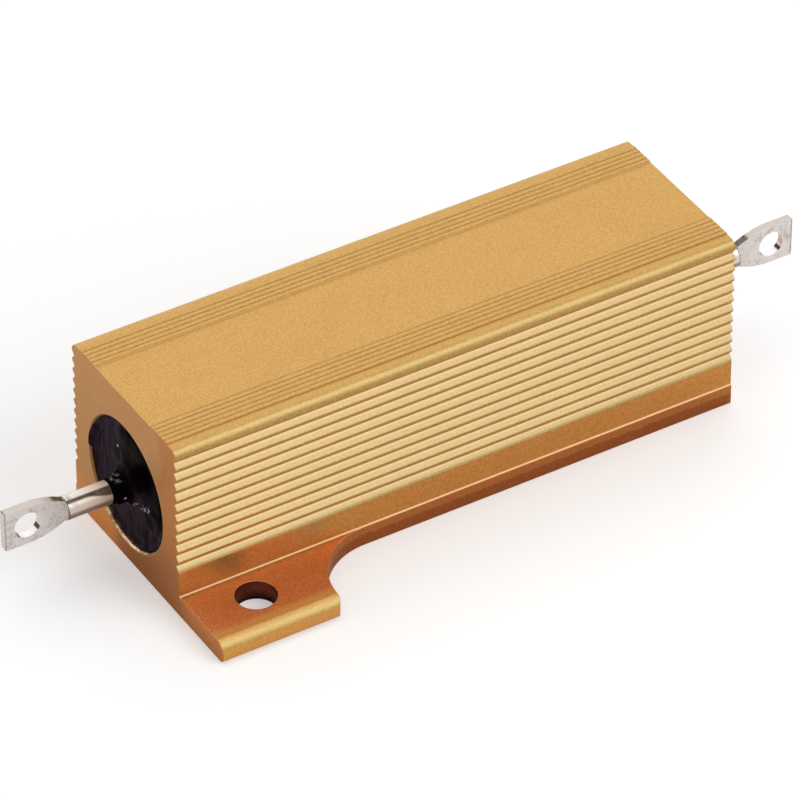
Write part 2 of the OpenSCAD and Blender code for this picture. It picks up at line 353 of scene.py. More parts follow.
@dataclass(frozen=True)
class GoldAnodised(Finish):
    """Etched and gold-dyed aluminium with sawn ends and milled edges; paler ribs, rounded edges and fillets
    are painted highlight, orange tabs and tinted walls painted reflection, darker corners and holes painted
    shade.
    """

    name: str = "gold_anodised"
    sawn_flank: Colour = (0.69, 0.31, 0.10)
    sawn_painted_light: Colour = (0.90, 0.43, 0.14)
    sawn_painted_shade: Colour = (0.56, 0.245, 0.085)
    skin_rough: float = 0.40
    tabs_rough: float = 0.50
    sawn_rough: float = 0.46
    ribs_y: float = 7.45
    valleys_y: float = 7.70
    ribs_low_z: float = 4.1
    ribs_top_z: float = 15.08
    brows_y: float = 7.4
    brows_z: float = 15.3
    band_z: float = 15.78
    tab_rim_y: float = 13.05
    tab_edge_y: float = 13.4
    mill_out_y: float = 14.3
    wall_turn_x: float = 12.2
    feet_w: float = 0.6
    cut_z: float = 1.05
    line_share: float = 0.55
    margin: float = 0.04  # how far from a face or a rim its kind of surface starts
    crisp: float = 0.02  # half the width of a sharp border between two kinds
    soft: float = 0.1  # half the width of a soft one

    def zones(self, at: Surface, etch: Signal) -> dict[Zone, Signal]:
        """Finds where each kind of surface lies.

        Args:
            at: the surface.
            etch: etched grain about 0.5.

        Returns:
            A share from 0 to 1 for each kind, in the order in which they are laid over each other.
        """
        out_x, out_y = abs(at.x), abs(at.y)
        level = at.rise(at.up, 0.3, 0.7)
        upright = at.rise(abs(at.up), 0.35, 0.15)
        low = at.rise(at.z, SIZE.tab_t + 0.15, SIZE.tab_t + 0.01)
        outside = at.rise(out_y, SIZE.crest_y + 0.03, SIZE.crest_y + 0.08)
        ribs = (at.rise(out_y, self.ribs_y, self.ribs_y + 0.15) * at.rise(at.up, 0.05, 0.45)
                * at.rise(at.z, self.ribs_low_z - 0.3, self.ribs_low_z)
                * at.step(at.z, self.ribs_top_z, -self.margin))
        edge = at.step(out_y, self.tab_edge_y, 0.4)
        rim = at.step(out_y, self.tab_rim_y, 0.55)
        bent = level * at.rise(at.up, 0.98, 0.9)
        rounded = at.step(out_y, self.brows_y, self.soft) * at.step(at.z, self.brows_z, self.soft)
        to_line = at.math("MINIMUM", abs(out_y - SIZE.band_in_y), abs(out_y - SIZE.band_out_y))
        on_line = at.rise(to_line, 0.11, 0.04) * at.rise(at.z, self.band_z - 0.05, self.band_z)
        to_corner = (out_y - SIZE.crest_y) + (at.z - SIZE.tab_t)
        above_tab = at.step(at.z, SIZE.tab_t - self.margin, self.crisp)
        beside_wall = at.step(out_y, SIZE.crest_y - self.margin, self.crisp)
        tabs = low * outside * level * (1 - edge)
        walls = upright * beside_wall * (1 - low) * at.rise(at.z, self.ribs_low_z, self.ribs_low_z - 0.2)
        by_tab = at.step(at.x * at.math("SIGN", at.y), self.wall_turn_x, 1.2)
        cut = upright * low * outside * at.step(out_y, self.mill_out_y, -self.soft)
        # the milled walls are darker towards the bottom
        lower_half = at.step(at.z + (etch - 0.5) * 0.5, self.cut_z, -self.soft)
        from_hole = at.far(out_x, out_y, (SIZE.hole_x, SIZE.hole_y))
        rubbed = at.rise(out_x, SIZE.half_l - 0.9, SIZE.half_l - 0.1) * at.rise(etch, 0.60, 0.67)
        from_axis = at.far(at.y, at.z, (0.0, SIZE.axis_z))
        mouth = at.step(from_axis, SIZE.bore_r + SIZE.mouth_chamfer, -self.crisp)
        return {
            Zone.RIBS: ribs,
            Zone.VALLEYS: ribs * at.rise(out_y, self.valleys_y + 0.05, self.valleys_y - 0.03),
            Zone.EDGES: edge,
            Zone.BROWS: at.most(rounded, edge * bent),
            Zone.LINES: self.line_share * on_line,
            Zone.TABS: tabs,
            Zone.RIMS: low * rim * at.rise(at.up, 0.85, 0.97),
            Zone.FEET: tabs * at.rise(out_y, SIZE.crest_y + self.feet_w, SIZE.crest_y + 0.1),
            Zone.WALLS: walls,
            Zone.TAB_WALLS: walls * by_tab,
            Zone.FILLETS: at.rise(to_corner, 0.16, 0.10) * above_tab * beside_wall,
            Zone.CUT: cut,
            Zone.CUT_LOW: cut * lower_half,
            Zone.BORED: at.step(from_hole, SIZE.hole_r + self.margin, -self.crisp) * upright,
            Zone.SCUFFS: rubbed * tabs,
            Zone.ENDS: at.step(out_x, SIZE.half_l - self.margin, self.crisp),
            Zone.MOUTHS: mouth * at.rise(out_x, SIZE.half_l - 0.5, SIZE.half_l - 0.3),
        }

    def sawn_face(self, at: Surface, colour: Signal, cloud: Signal) -> Signal:
        """Makes an end face redder at its tab, with painted light low on the other side and painted shade
        below.

        Args:
            at: the surface.
            colour: the plain colour of the face.
            cloud: slow changes about 0.5.

        Returns:
            The colour.
        """
        stir = (cloud - 0.5) * 3
        across = at.across() + stir
        above = at.z - SIZE.axis_z + stir
        flank = at.rise(across, 4.6, 6.0)
        # painted light: the lower part of the side away from the tab is lighter
        painted_light = at.rise(above, -3.0, -5.2) * at.rise(across, 0.0, -2.6)
        # painted shade: darker below the bore
        low = at.rise(above, -0.5, -5.0) * at.rise(across, -3.0, 0.4) * at.rise(abs(at.y), 9.5, 7.5)
        for share, shade in ((flank, self.sawn_flank), (painted_light, self.sawn_painted_light), (low, self.sawn_painted_shade)):
            colour = at.mix(share, colour, shade)
        return colour

    def paint(self, at: Surface) -> dict[str, Any]:
        """Feeds colour, roughness and relief by the kind of surface.

        Args:
            at: the surface.

        Returns:
            The shader's sockets by name.
        """
        etch = at.grain(6.0)
        cloud = at.grain(0.35)
        die = at.grain(1.0, 3.0, factors=(0.012, 5.0, 5.0))
        saw = at.grain(1.0, 3.0, 0.4, (1.0, 0.25, 7.0))
        mill = at.grain(1.0, 3.0, factors=(6.0, 6.0, 0.4))
        zone = self.zones(at, etch)

        speckle = at.rise(etch, 0.38, 0.62)
        tone = speckle * 0.65 + cloud * 0.3 + die * 0.3 - 0.13
        # painted shade: the walls of the holes darken towards the bottom
        lit = at.rise(at.z, 0.0, SIZE.tab_t * 0.7) * (0.8 + speckle * 0.2)
        sawn = saw * 0.5 + cloud * 0.5 + speckle * 0.5 - 0.25
        # painted highlight: pale specks only low on the mouth of the bore; elsewhere it stays dark brown
        # painted shade
        below = at.rise(at.z, SIZE.axis_z - 2.8, SIZE.axis_z - 4.2)
        lower_highlight = at.rise(at.grain(2.2), 0.42, 0.66) * below
        tones = {Zone.BORED: lit, Zone.ENDS: sawn, Zone.MOUTHS: lower_highlight}
        colour = at.mix(tone, *Zone.SKIN.value)
        for kind, share in zone.items():
            shade = at.mix(tones.get(kind, tone), *kind.value)
            if kind is Zone.ENDS:
                shade = self.sawn_face(at, shade, cloud)
            colour = at.mix(share, colour, shade)

        ends = zone[Zone.ENDS]
        plain = 1 - ends
        matt = (self.tabs_rough - self.skin_rough) * (zone[Zone.TABS] + zone[Zone.WALLS])
        rough = (self.skin_rough + matt) * plain + self.sawn_rough * ends
        relief = (etch * 0.6 + die * 0.4) * plain + saw * ends + mill * zone[Zone.CUT] * plain
        return {"Base Color": colour, "Metallic": 1.0, "Roughness": rough + (etch - 0.5) * 0.16,
                "Normal": at.bump(relief, 0.03, 0.5)}


@dataclass(frozen=True)
class BlackCompound(Finish):
    """Black sealing compound with a painted purple sheen, dull and without the sheen on one side of each end
    face, with pale specks that are partly real and partly painted glint.
    """

    name: str = "black_compound"
    tint: Colour = (0.0022, 0.0011, 0.0019)
    painted_sheen: Colour = (0.052, 0.030, 0.050)
    grit_and_glint: Colour = (0.62, 0.60, 0.62)
    collar_dull_r: float = 1.3
    collar_x: float = 25.4
    dull_edge: float = 1.5
    dull_slope: float = 0.633
    seam_end: float = 3.5
    pocket: Point = (3.1, -1.8)
    pocket_r: float = 0.9
    crumbs: tuple[Triple, ...] = ((-24.6, 1.85, 9.66), (-25.68, -1.22, 7.03))
    crumb_r: float = 0.17

    def sheen_and_gloss_share(self, at: Surface, across: Signal, above: Signal) -> Signal:
        """Finds where the surface takes the painted sheen and the glossy coat: all but a pocket, round the
        collar and the upper outer part of an end face.

        Args:
            at: the surface.
            across: first coordinate on the face.
            above: second coordinate on the face.

        Returns:
            A share from 0 to 1.
        """
        stir = at.grain(0.7) - 0.5
        height = across * self.dull_slope + above + stir * 2.2
        dull = at.rise(height, self.dull_edge - 0.6, self.dull_edge + 0.4)
        dull = dull * at.rise(across + stir * 2.2, -1.6, -0.2)
        hole = at.rise(at.far(across, above, self.pocket) + stir, self.pocket_r, self.pocket_r / 2)
        collar = at.rise(at.far(across, above), self.collar_dull_r + 0.5, self.collar_dull_r)
        return 1 - at.most(dull, hole, collar)

    def glints(self, at: Surface, across: Signal, above: Signal) -> Signal:
        """Finds the pale specks: crumbs, a broken line on the seam and a patch on top of the collar, partly
        real specks and partly painted glint.

        Args:
            at: the surface.
            across: first coordinate on the face.
            above: second coordinate on the face.

        Returns:
            A share from 0 to 1.
        """
        speck_noise = at.grain(2.6)
        off_seam = abs(above - SIZE.seam_v - across * SIZE.seam_slope)
        on_seam = (at.rise(off_seam, 0.30, 0.08) * at.step(across, 0.0, 0.3)
                   * at.rise(across, self.seam_end, self.seam_end - 0.6))
        on_collar = at.rise(abs(at.x), self.collar_x, self.collar_x + 0.4) * at.rise(at.up, 0.78, 0.95)
        away = [at.node("ShaderNodeVectorMath", {"operation": "DISTANCE"}, {0: at.whole, 1: spot}, "Value")
                for spot in self.crumbs]
        return at.most(on_seam * at.rise(speck_noise, 0.47, 0.63) * 0.8,
                       on_collar * at.rise(speck_noise, 0.42, 0.62) * 0.45,
                       *(at.rise(far, self.crumb_r, self.crumb_r / 2) for far in away))

    def paint(self, at: Surface) -> dict[str, Any]:
        """Feeds colour, roughness, gloss and a fine relief.

        Args:
            at: the surface.

        Returns:
            The shader's sockets by name.
        """
        across, above = at.across(), at.z - SIZE.axis_z
        sheen_and_gloss = self.sheen_and_gloss_share(at, across, above)
        streak = at.grain(0.9, 3.0, 0.6, (1.0, 1.6, 0.5))
        pits = at.grain(3.2)
        # painted sheen: a purple colour stands in for a reflection wherever the face is not dull
        sheen_colour = at.mix(sheen_and_gloss * at.rise(streak, 0.2, 0.75), self.tint, self.painted_sheen)
        return {"Base Color": at.mix(self.glints(at, across, above), sheen_colour, self.grit_and_glint),
                "Roughness": 0.22 + streak * 0.2, "Specular IOR Level": 0.01,
                "Coat Weight": sheen_and_gloss * streak * 0.035, "Coat Roughness": 0.12,
                "Normal": at.bump(pits * 0.35 + streak * 0.65, 0.05, 0.25)}


@dataclass(frozen=True)
class Tinned(Finish):
    """Tinned copper: a painted dark reflection line and painted shade along the lead, rubbed dull on the lug,
    with burn marks in the eye and painted shade and highlight at its steps and edges.
    """

    name: str = "tinned_copper"
    lead: Colour = (0.94, 0.885, 0.825)
    lug: Colour = (0.90, 0.885, 0.88)
    lug_dull: Colour = (0.64, 0.625, 0.61)
    lug_side: Colour = (0.62, 0.56, 0.51)
    cut_highlight: Colour = (1.0, 0.97, 0.95)
    painted_dark: Colour = (0.10, 0.062, 0.042)
    tarnish: Colour = (0.30, 0.22, 0.14)
    burnt_and_shade: Colour = (0.06, 0.045, 0.035)
    lead_metal: float = 0.8
    lug_metal: float = 0.55
    dark_gap: float = 0.5
    dark_widen_l: float = 2.2
    dark_half: float = 0.2
    line_turn: float = math.radians(61)
    line_half: float = 0.16
    neck_span: float = 1.4
    step_x: float = 30.34
    patch_l: float = 0.95
    tip_edge: float = 0.09
    burns: tuple[Point, ...] = ((32.73, 6.64), (34.4, 6.55))
    burn_r: float = 0.24

    def painted_line_and_underside(self, at: Surface, smudge: Signal) -> Signal:
        """Finds where the lead is painted dark: a painted dark reflection line that widens towards the
        collar, and painted shade on all the underside.

        Args:
            at: the surface.
            smudge: noise about 0.5.

        Returns:
            A share from 0 to 1.
        """
        down = at.across() * math.sin(self.line_turn) - (at.z - SIZE.axis_z) * math.cos(self.line_turn)
        near = SIZE.collar_end_x + self.dark_gap
        spread = self.dark_half * at.rise(abs(at.x) + smudge, near + self.dark_widen_l, near)
        line = at.step(abs(down - spread) - spread, self.line_half, -0.08)
        under = at.rise(at.up, 0.04, -0.12)
        return at.most(line * (0.8 + smudge * 0.3), under * 0.6)

    def paint(self, at: Surface) -> dict[str, Any]:
        """Feeds colour, metal, roughness and drawing lines.

        Args:
            at: the surface.

        Returns:
            The shader's sockets by name.
        """
        out = abs(at.x)
        lines = at.grain(1.0, 3.0, factors=(0.35, 7.0, 7.0))
        smudge = at.grain(1.3, 3.0, 0.5)
        fine = at.grain(7.0)
        flat = at.step(out, self.step_x + 0.01, 0.02)
        top = at.rise(at.up, 0.5, 0.8)
        in_eye = at.rise(at.far(out, at.z, (SIZE.eye_x, SIZE.axis_z)), SIZE.eye_r + 0.1, SIZE.eye_r + 0.02)
        at_tip = at.rise(out, SIZE.lug_end_x - 0.04, SIZE.lug_end_x - 0.01)
        rubbed = at.mix(at.rise(smudge * 0.7 + fine * 0.3, 0.32, 0.56), self.lug_dull, self.lug)
        rubbed = at.mix(at.rise(abs(at.up), 0.5, 0.8), rubbed, self.lug_side)
        # painted highlight: the eye's walls and the lug's cut end are paler
        rubbed = at.mix(at.most(in_eye, at_tip), rubbed, self.cut_highlight)
        metal = at.mix(flat, at.mix(self.painted_line_and_underside(at, smudge), self.lead, self.painted_dark), rubbed)

        near_neck = at.rise(abs(out - SIZE.neck_x), self.neck_span, 0.0)
        stain = near_neck * at.rise(smudge, 0.48, 0.72) * 0.7
        burns = [at.rise(at.far(out, at.z, spot), self.burn_r, self.burn_r / 2) for spot in self.burns]
        # painted shade: the upward strip beside the neck, the step from lead to lug and a line along the
        # lug's end take the same dark colour as the real burns in the eye
        on_patch = abs(out - SIZE.neck_x - self.patch_l / 2)
        patch = top * at.rise(on_patch, self.patch_l * 0.7, self.patch_l * 0.4)
        step = at.step(abs(out - self.step_x), 0.04, -0.02)
        edge = at.step(abs(out - SIZE.lug_end_x + self.tip_edge), 0.05, -0.02) * 0.6
        dark = at.most(in_eye * at.most(*burns), at.most(step, edge, patch) * (0.45 + smudge * 0.8))
        colour = at.mix(dark, at.mix(stain, metal, self.tarnish), self.burnt_and_shade)
        return {"Base Color": colour, "Metallic": self.lead_metal + flat * (self.lug_metal - self.lead_metal),
                "Roughness": 0.32 + fine * 0.06 + flat * (smudge * 0.2 - 0.16),
                "Normal": at.bump(lines * 0.6 + fine * 0.4, 0.012, 0.2)}


@dataclass(frozen=True)
class Steatite(Finish):
    """Unglazed white ceramic of the core."""

    name: str = "steatite"
    pale: Colour = (0.80, 0.77, 0.70)
    shade: Colour = (0.66, 0.62, 0.54)

    def paint(self, at: Surface) -> dict[str, Any]:
        """Feeds a speckled colour and a dry, fine relief.

        Args:
            at: the surface.

        Returns:
            The shader's sockets by name.
        """
        speck = at.grain(3.0, 4.0)
        return {"Base Color": at.mix(at.rise(speck, 0.4, 0.6), self.shade, self.pale),
                "Roughness": 0.6 + speck * 0.3, "Normal": at.bump(speck, 0.03, 0.4)}


@dataclass(frozen=True)
class DrawnMetal(Finish):
    """Plain metal with drawing marks round or along the piece."""

    name: str = "drawn_metal"
    light: Colour = (0.55, 0.50, 0.46)
    dark: Colour = (0.40, 0.35, 0.31)
    marks: Triple = (6.0, 0.6, 0.6)
    rough: float = 0.32

    def paint(self, at: Surface) -> dict[str, Any]:
        """Feeds a streaked colour, roughness and marks.

        Args:
            at: the surface.

        Returns:
            The shader's sockets by name.
        """
        streak = at.grain(1.0, 3.0, factors=self.marks)
        return {"Base Color": at.mix(streak, self.dark, self.light), "Metallic": 1.0,
                "Roughness": self.rough - 0.1 + streak * 0.2, "Normal": at.bump(streak, 0.02, 0.4)}


def arc(centre: Point, radius: float, start: float, end: float, steps: int = 10) -> list[Point]:
    """Points along an arc between two angles in degrees, with both its ends."""
    angles = [math.radians(start + (end - start) * i / steps) for i in range(steps + 1)]
    return [(centre[0] + radius * math.cos(a), centre[1] + radius * math.sin(a)) for a in angles]


def ease(share: float) -> float:
    """Smooth step from 0 to 1."""
    k = min(1.0, max(0.0, share))
    return k * k * (3 - 2 * k)


def bell(share: float) -> float:
    """Bell curve of height 1 about 0."""
    return math.exp(-share * share)


def add(name: str, data: bpy.types.ID) -> Piece:
    """Makes an object and links it to the scene.

    Args:
        name: its name.
        data: its mesh, lens or light.

    Returns:
        The object, at the origin.
    """
    made = bpy.data.objects.new(name, data)
    bpy.context.scene.collection.objects.link(made)
    return made


class Solid:
    """Closed mesh in millimetres, built up from lofts."""

    WELD = 1e-5  # points closer than this are one

    def __init__(self) -> None:
        """Starts empty."""
        self.shell = bmesh.new()

    def loft(self, rings: Sequence[Ring], closed: bool = False) -> "Solid":
        """Stretches a skin over rings of points.

        Args:
            rings: rings with the same number of points each, in order.
            closed: whether the last ring joins the first; otherwise both ends are capped.

        Returns:
            This solid.
        """
        rows = [[self.shell.verts.new(p) for p in ring] for ring in rings]
        pairs = list(zip(rows, rows[1:]))
        if closed:
            pairs.append((rows[-1], rows[0]))
        else:
            self.shell.faces.new(rows[0])
            self.shell.faces.new(rows[-1])
        for near, far in pairs:
            for i, corner in enumerate(near):
                j = (i + 1) % len(near)
                self.shell.faces.new((corner, near[j], far[j], far[i]))
        return self

    def prism(self, outline: Sequence[Point], axis: Axis, low: float, high: float) -> "Solid":
        """Draws an outline out into a prism along an axis."""
        return self.loft([[axis.place(p, reach) for p in outline] for reach in (low, high)])

    def piece(self, name: str) -> Piece:
        """Ends the solid as an object with faces that point outwards.

        Args:
            name: the object's name.

        Returns:
            The object, at the origin.
        """
        bmesh.ops.remove_doubles(self.shell, verts=self.shell.verts, dist=self.WELD)
        bmesh.ops.recalc_face_normals(self.shell, faces=self.shell.faces)
        mesh = bpy.data.meshes.new(name)
        self.shell.to_mesh(mesh)
        self.shell.free()
        return add(name, mesh)


def turned_rings(profile: Sequence[Point], steps: int) -> list[Ring]:
    """Turns a profile, given as distance along X and radius, about the axis of the leads."""
    angles = [math.tau * k / steps for k in range(steps)]
    return [[Vector((x, r * math.cos(a), SIZE.axis_z + r * math.sin(a))) for a in angles] for x, r in profile]


def settle(piece: Piece) -> None:
    """Turns a piece's modifiers into plain, smooth-shaded mesh.

    Args:
        piece: the object, whose modifiers are removed.
    """
    graph = bpy.context.evaluated_depsgraph_get()
    made = bpy.data.meshes.new_from_object(piece.evaluated_get(graph), preserve_all_data_layers=True,
                                           depsgraph=graph)
    piece.modifiers.clear()
    piece.data = made
    for face in made.polygons:
        face.use_smooth = True


def carve(piece: Piece, cutter: Piece) -> None:
    """Takes a cutter's volume from a piece and removes the cutter.

    Args:
        piece: what is cut.
        cutter: what it is cut with.
    """
    cut = piece.modifiers.new("cut", "BOOLEAN")
    cut.operation = "DIFFERENCE"
    cut.solver = "EXACT"
    cut.object = cutter
    settle(piece)
    bpy.data.objects.remove(cutter)


def soften(piece: Piece, width: float, angle: float, segments: int,
           share: Callable[[Vector], float] = lambda middle: 1.0) -> None:
    """Breaks the sharp edges of a piece and evens its shading.

    Args:
        piece: the object, in millimetres.
        width: greatest width of a broken edge.
        angle: least angle of an edge that is broken, in degrees.
        segments: faces across a broken edge.
        share: share of the width for an edge, by its middle; 0 leaves it sharp.
    """
    shell = bmesh.new()
    shell.from_mesh(piece.data)
    weight = shell.edges.layers.float.new("bevel_weight_edge")
    for side in shell.edges:
        if side.calc_face_angle(0.0) > math.radians(angle):
            side[weight] = share((side.verts[0].co + side.verts[1].co) / 2)
            side.smooth = side[weight] > 0
    shell.to_mesh(piece.data)
    shell.free()
    edge = piece.modifiers.new("edge", "BEVEL")
    edge.width = width
    edge.segments = segments
    edge.limit_method = "WEIGHT"
    edge.use_clamp_overlap = False
    even = piece.modifiers.new("even", "WEIGHTED_NORMAL")
    even.keep_sharp = True
    settle(piece)


class Recipe:
    """A Geometry Nodes tree with named inputs."""

    def __init__(self, name: str, inputs: dict[str, str]) -> None:
        """Starts a tree that hands geometry on.

        Args:
            name: the tree's name.
            inputs: the last part of each input's socket type, such as Float, by the input's name.
        """
        self.tree = bpy.data.node_groups.new(name, "GeometryNodeTree")
        self.graph = Graph(self.tree)
        sockets = self.tree.interface
        sockets.new_socket("Geometry", in_out="OUTPUT", socket_type="NodeSocketGeometry")
        for label, kind in inputs.items():
            sockets.new_socket(label, in_out="INPUT", socket_type=f"NodeSocket{kind}")
        entry = self.graph.node("NodeGroupInput").socket.node
        self.inputs = [Signal(self.graph, entry.outputs[label]) for label in inputs]

    def end(self, geometry: Signal, material: Signal) -> None:
        """Realizes what was made, sets its material and ends the tree.

        Args:
            geometry: what the tree made.
            material: the finish for all of it.
        """
        real = self.graph.node("GeometryNodeRealizeInstances", None, {"Geometry": geometry})
        dressed = self.graph.node("GeometryNodeSetMaterial", None, {"Geometry": real, "Material": material})
        self.graph.node("NodeGroupOutput", None, {0: dressed}, None)

    def use(self, piece: Piece, values: dict[str, Any]) -> None:
        """Runs the tree on a piece.

        Args:
            piece: the object that gets the modifier.
            values: the inputs by name.
        """
        step = piece.modifiers.new(self.tree.name, "NODES")
        step.node_group = self.tree
        for item in self.tree.interface.items_tree:
            if item.in_out == "INPUT" and item.name in values:
                step[item.identifier] = values[item.name]


class GrooveRow(Recipe):
    """Cuts a row of V grooves along X, evenly spaced, into a piece."""

    PRISM_REACH = 1.5  # height of a three-sided prism of radius 1
    PRISM_WIDTH = math.sqrt(3)  # width of one of its sides
    PAST = 1.5  # how many times as large as its groove a cutter is

    def __init__(self) -> None:
        """Builds the tree: one three-sided cutter, set out in a row and taken from the piece."""
        super().__init__("groove_row", {
            "Geometry": "Geometry", "Start": "Vector", "Step": "Vector", "Count": "Int", "Width": "Float",
            "Depth": "Float", "Length": "Float", "Roll": "Float", "Finish": "Material"})
        block, start, step, count, width, depth, length, roll, material = self.inputs
        graph = self.graph
        bar = graph.node("GeometryNodeMeshCylinder", {"fill_type": "NGON"},
                         {"Vertices": 3, "Radius": 1.0, "Depth": 1.0}, "Mesh")
        laid = graph.node("GeometryNodeTransform", None, {"Geometry": bar, "Rotation": (0, math.pi / 2, 0)})
        tall = depth * (self.PAST / self.PRISM_REACH)
        wide = width * (self.PAST / self.PRISM_WIDTH)
        size = graph.node("ShaderNodeCombineXYZ", None, {"X": length, "Y": wide, "Z": tall})
        lift = graph.node("ShaderNodeCombineXYZ", None, {"Z": tall - depth})
        cutter = graph.node("GeometryNodeTransform", None,
                            {"Geometry": laid, "Scale": size, "Translation": lift})
        row = graph.node("GeometryNodeMeshLine", {"mode": "OFFSET", "count_mode": "TOTAL"},
                         {"Count": count, "Start Location": start, "Offset": step})
        turn = graph.node("ShaderNodeCombineXYZ", None, {"X": roll})
        cutters = graph.node("GeometryNodeInstanceOnPoints", None,
                             {"Points": row, "Instance": cutter, "Rotation": turn})
        loose = graph.node("GeometryNodeRealizeInstances", None, {"Geometry": cutters})
        cut = graph.node("GeometryNodeMeshBoolean", {"operation": "DIFFERENCE", "solver": "EXACT"},
                         {"Mesh 1": block, "Mesh 2": loose}, "Mesh")
        self.end(cut, material)


class WireSweep(Recipe):
    """Sweeps a wire along a helix that climbs a little at both ends."""

    def __init__(self) -> None:
        """Builds the tree: a line bent to the helix, then given a round section."""
        sizes = ("Reach", "Turns", "Seat", "Climb", "Climb Start", "Climb Length", "Axis Height", "Radius")
        super().__init__("wire_sweep", {**dict.fromkeys(sizes, "Float"), "Rings": "Int", "Sides": "Int",
                                        "Finish": "Material"})
        reach, turns, seat, climb, climb_start, climb_l, axis_z, radius, rings, sides, material = self.inputs
        graph = self.graph
        line = graph.node("GeometryNodeCurvePrimitiveLine", {"mode": "POINTS"})
        fine = graph.node("GeometryNodeResampleCurve", {"mode": "COUNT"}, {"Curve": line, "Count": rings})
        share = graph.node("GeometryNodeSplineParameter", out="Factor")
        x = reach * (share * 2 - 1)
        angle = share * turns * math.tau
        up = graph.math("MINIMUM", graph.math("MAXIMUM", (abs(x) - climb_start) / climb_l, 0.0), 1.0)
        r = seat + climb * (up * up * (3 - 2 * up))
        spot = graph.node("ShaderNodeCombineXYZ", None,
                          {"X": x, "Y": r * graph.math("COSINE", angle),
                           "Z": axis_z + r * graph.math("SINE", angle)})
        helix = graph.node("GeometryNodeSetPosition", None, {"Geometry": fine, "Position": spot})
        section = graph.node("GeometryNodeCurvePrimitiveCircle", {"mode": "RADIUS"},
                             {"Resolution": sides, "Radius": radius})
        wire = graph.node("GeometryNodeCurveToMesh", None,
                          {"Curve": helix, "Profile Curve": section, "Fill Caps": True})
        self.end(wire, material)


@dataclass
class Assembly:
    """A sub-assembly that is made in millimetres and stands for one solid."""

    material: Material
    name: str
    node: str
    slot: str

    def build(self) -> Piece:
        """Makes the mesh, in a way of its own for each sub-assembly."""
        raise NotImplementedError

    def dress(self, piece: Piece) -> None:
        """Scales a finished piece to metres, gives it its finish and lets it stand for its solid.

        Args:
            piece: the finished object, in millimetres.
        """
        piece.data.transform(Matrix.Scale(MM, 4))
        piece.data.materials.clear()
        piece.data.materials.append(self.material)
        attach(piece, BODY)
        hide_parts(self.node)
        log.info("%s: %d faces, stands for %s", piece.name, len(piece.data.polygons), self.node)


